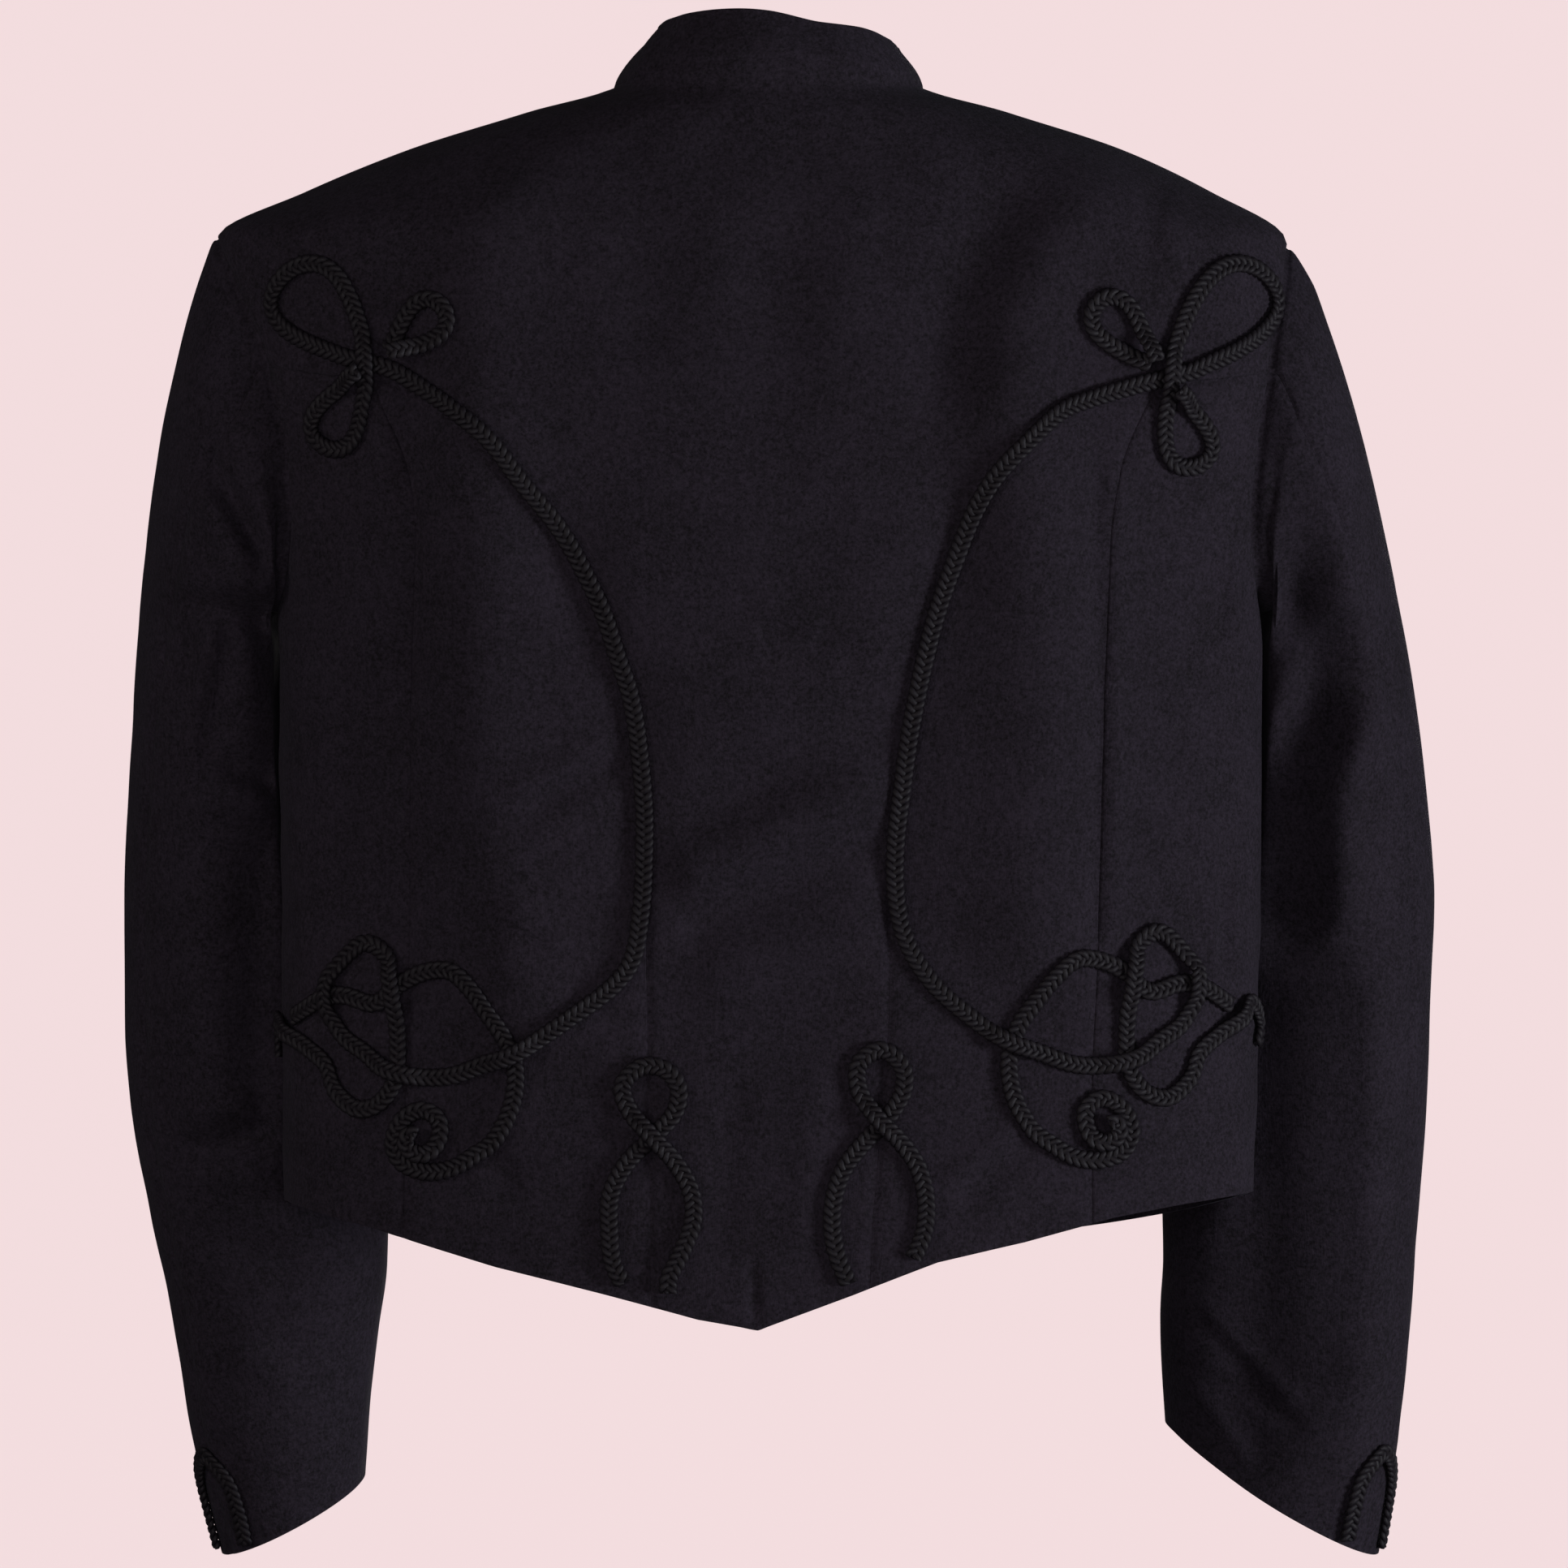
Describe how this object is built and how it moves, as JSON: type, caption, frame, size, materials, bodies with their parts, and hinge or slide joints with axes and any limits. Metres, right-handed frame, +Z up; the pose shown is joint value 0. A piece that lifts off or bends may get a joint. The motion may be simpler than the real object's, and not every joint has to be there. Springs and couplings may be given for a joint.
{
  "type": "hussar jacket",
  "caption": "Short black wool hussar jacket, hollow and filled out as worn with no wearer, with a stand collar, pointed back hem and sewn plaited cord on the back, cuffs and shoulders.",
  "frame": {"origin": "middle of the neck opening, level with the neck ends of the shoulder seams", "axes": "+Z up the garment, -Y out of its back, +X to the wearer's right"},
  "size_m": [0.5627, 0.2525, 0.6651],
  "materials": {
    "wool": "matte fulled wool",
    "cord": "plaited worsted cord with a faint gloss",
    "button": "cloth-covered, matte"
  },
  "bodies": {
    "root": {"back_centre": "wool", "side_back_left": "wool", "side_back_right": "wool", "side_panel_left": "wool", "side_panel_right": "wool", "front_left": "wool", "front_right": "wool", "collar": "wool", "sleeve_upper_left": "wool", "sleeve_under_left": "wool", "sleeve_upper_right": "wool", "sleeve_under_right": "wool", "cord_main_left": "cord", "cord_main_right": "cord", "cord_arc_left": "cord", "cord_arc_right": "cord", "cord_loop_left": "cord", "cord_loop_right": "cord", "cord_hem_left": "cord", "cord_hem_right": "cord", "cord_cuff_left": "cord", "cord_cuff_right": "cord", "button_1": "button", "button_2": "button", "button_3": "button", "button_4": "button", "button_5": "button", "button_6": "button", "button_7": "button"}
  },
  "joints": []
}
